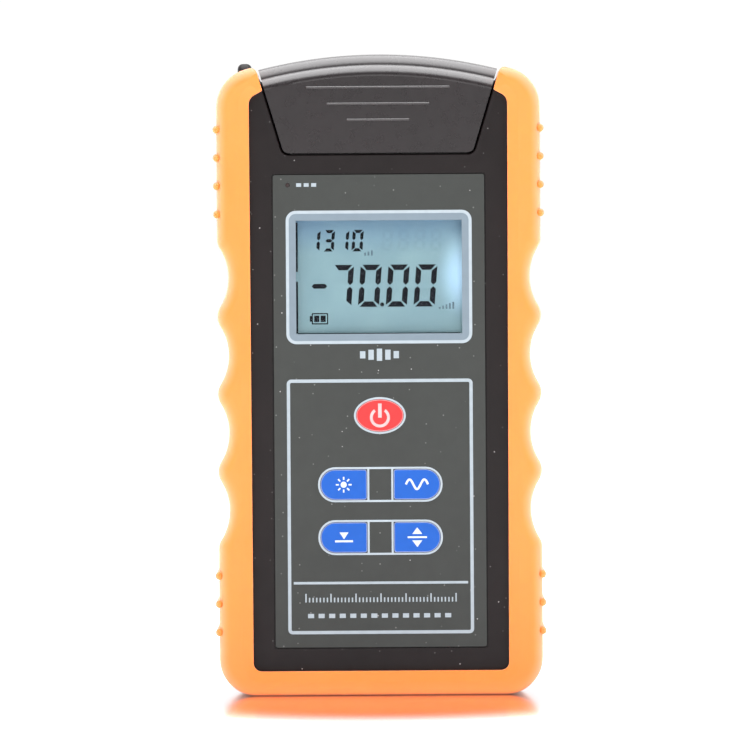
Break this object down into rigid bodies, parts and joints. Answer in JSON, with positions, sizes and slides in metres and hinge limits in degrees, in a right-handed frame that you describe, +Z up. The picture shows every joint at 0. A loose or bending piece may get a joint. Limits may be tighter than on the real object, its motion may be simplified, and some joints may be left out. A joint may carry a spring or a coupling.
{
  "type": "optical power meter",
  "caption": "Handheld optical power meter with a flip lid over its fibre ports, a display, push keys and a soft rubber boot with finger grips.",
  "frame": {"origin": "middle of the underside of the rubber boot", "axes": "+Z up along the meter's height, +X to the right seen from the front, the keys face -Y"},
  "size_m": [0.0926, 0.045, 0.1794],
  "materials": {
    "boot_rubber": "soft satin orange",
    "case_plastic": "fine moulded texture, nearly black",
    "label_film": "satin grey film",
    "pane_clear": "clear, slightly glossy",
    "lcd_glass": "pale blue grey display",
    "light_guide": "milky",
    "frame_plastic": "moulded, off white",
    "board_green": "solder mask",
    "chip_black": "moulded epoxy",
    "steel_bright": "plated",
    "port_metal": "nickel plated turned brass",
    "key_blue": "satin blue",
    "key_red": "satin red",
    "lamp_lens": "unlit tinted lens",
    "cell_sleeve": "plain printed sleeve",
    "laser_brass": "turned"
  },
  "bodies": {
    "meter": {"rubber_boot": "boot_rubber", "front_housing": "case_plastic", "rear_housing": "case_plastic", "lid_hinge_pin": "steel_bright", "face_label": "label_film", "display_window": "pane_clear", "lcd_panel": "lcd_glass", "backlight": "light_guide", "lcd_frame": "frame_plastic", "main_board": "board_green", "board_chips": "chip_black", "board_screws": "steel_bright", "key_switches": "chip_black", "indicator_lamp": "lamp_lens", "port_plate": "case_plastic", "detector_adapter": "port_metal", "locator_adapter": "port_metal", "adapter_nuts": "port_metal", "photodiode": "steel_bright", "laser_module": "laser_brass", "battery_contacts": "steel_bright", "battery_springs": "steel_bright", "case_screws": "steel_bright", "strap_eye": "case_plastic", "battery_1": "cell_sleeve", "battery_2": "cell_sleeve", "battery_3": "cell_sleeve"},
    "lid": {"port_lid": "case_plastic"},
    "rear_door": {"battery_door": "case_plastic"},
    "key_power_cap": {"key_power": "key_red"},
    "key_locator_cap": {"key_locator": "key_blue"},
    "key_wavelength_cap": {"key_wavelength": "key_blue"},
    "key_reference_cap": {"key_reference": "key_blue"},
    "key_unit_cap": {"key_unit": "key_blue"}
  },
  "joints": [
    {"name": "lid_hinge", "type": "hinge", "parent": "meter", "child": "lid", "pos_m": [0, 0.0164, 0.1705], "axis": [-1, 0, 0], "range_deg": [0, 115]},
    {"name": "door_hinge", "type": "hinge", "parent": "meter", "child": "rear_door", "pos_m": [0, 0.0188, 0.0157], "axis": [-1, 0, 0], "range_deg": [0, 90]},
    {"name": "key_power_press", "type": "slide", "parent": "meter", "child": "key_power_cap", "axis": [0, 1, 0], "range_m": [0, 0.0005], "stiffness_N_per_m": 400},
    {"name": "key_locator_press", "type": "slide", "parent": "meter", "child": "key_locator_cap", "axis": [0, 1, 0], "range_m": [0, 0.0005], "stiffness_N_per_m": 400},
    {"name": "key_wavelength_press", "type": "slide", "parent": "meter", "child": "key_wavelength_cap", "axis": [0, 1, 0], "range_m": [0, 0.0005], "stiffness_N_per_m": 400},
    {"name": "key_reference_press", "type": "slide", "parent": "meter", "child": "key_reference_cap", "axis": [0, 1, 0], "range_m": [0, 0.0005], "stiffness_N_per_m": 400},
    {"name": "key_unit_press", "type": "slide", "parent": "meter", "child": "key_unit_cap", "axis": [0, 1, 0], "range_m": [0, 0.0005], "stiffness_N_per_m": 400}
  ]
}
